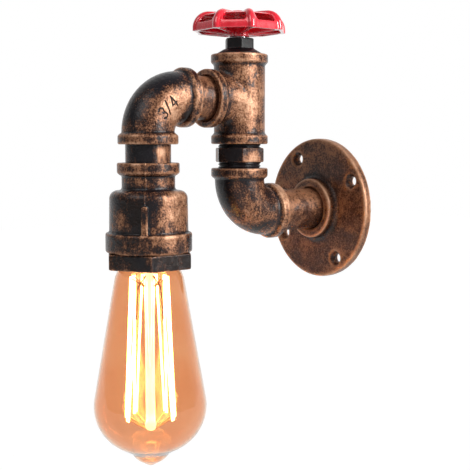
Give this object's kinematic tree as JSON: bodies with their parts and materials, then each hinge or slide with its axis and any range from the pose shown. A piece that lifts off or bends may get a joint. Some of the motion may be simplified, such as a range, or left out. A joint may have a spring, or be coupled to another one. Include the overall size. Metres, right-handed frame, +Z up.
{
  "type": "pipe wall light",
  "caption": "Wall light made of dark threaded pipe fittings with a red handwheel, a bell-shaped lamp cup and a hanging amber filament bulb.",
  "frame": {"origin": "centre of the flange's back face, on the wall", "axes": "+Y into the wall, -Y out of it to the lamp, +Z up, +X along the wall"},
  "size_m": [0.09, 0.1671, 0.2657],
  "materials": {
    "iron": "antiqued dark brown with copper highlights",
    "black_paint": "satin black",
    "red_enamel": "gloss red enamel",
    "plain_steel": "zinc plated",
    "rubber": "matt",
    "brass": "plain",
    "ceramic": "glazed white",
    "solder": "solder",
    "cap_glass": "black vitrite glass",
    "cap_metal": "plain",
    "amber_glass": "amber, clear",
    "clear_glass": "clear",
    "filament": "glowing wire"
  },
  "bodies": {
    "fixture": {"wall_flange": "iron", "wall_nipple": "iron", "lower_elbow": "iron", "hex_nipple": "iron", "tee": "iron", "branch_nipple": "iron", "upper_elbow": "iron", "drop_nipple": "iron", "socket_cup": "iron", "hex_collar": "iron", "bonnet": "black_paint", "spindle_oring": "rubber", "holder_rod": "plain_steel", "rod_nut": "plain_steel", "rod_lock_washer": "plain_steel", "holder_strap": "plain_steel", "strap_screws": "plain_steel", "terminal_screws": "brass", "holder_ceramic": "ceramic", "screw_shell": "brass", "centre_contact": "brass", "side_contact": "brass"},
    "wheel": {"handwheel": "red_enamel", "spindle": "plain_steel", "spindle_clip": "plain_steel", "wheel_washer": "plain_steel", "wheel_screw": "plain_steel"},
    "bulb_carrier": {"bulb_contact": "solder"},
    "bulb": {"bulb_glass": "amber_glass", "bulb_cap": "cap_metal", "bulb_insulator": "cap_glass", "bulb_stem": "clear_glass", "lead_wires": "plain_steel", "upper_supports": "plain_steel", "lower_supports": "plain_steel", "filament": "filament"}
  },
  "joints": [
    {"name": "handwheel_turn", "type": "hinge", "parent": "fixture", "child": "wheel", "pos_m": [0, -0.0688, 0], "axis": [0, 0, 1], "continuous": true},
    {"name": "bulb_travel", "type": "slide", "parent": "fixture", "child": "bulb_carrier", "axis": [0, 0, -1], "range_m": [0, 0.0145]},
    {"name": "bulb_unscrew", "type": "hinge", "parent": "bulb_carrier", "child": "bulb", "pos_m": [0, -0.1344, 0], "axis": [0, 0, -1], "range_deg": [0, 1440]}
  ],
  "couplings": [
    {"joint": "bulb_unscrew", "follows": "bulb_travel", "rad_per_m": 1731.4}
  ]
}
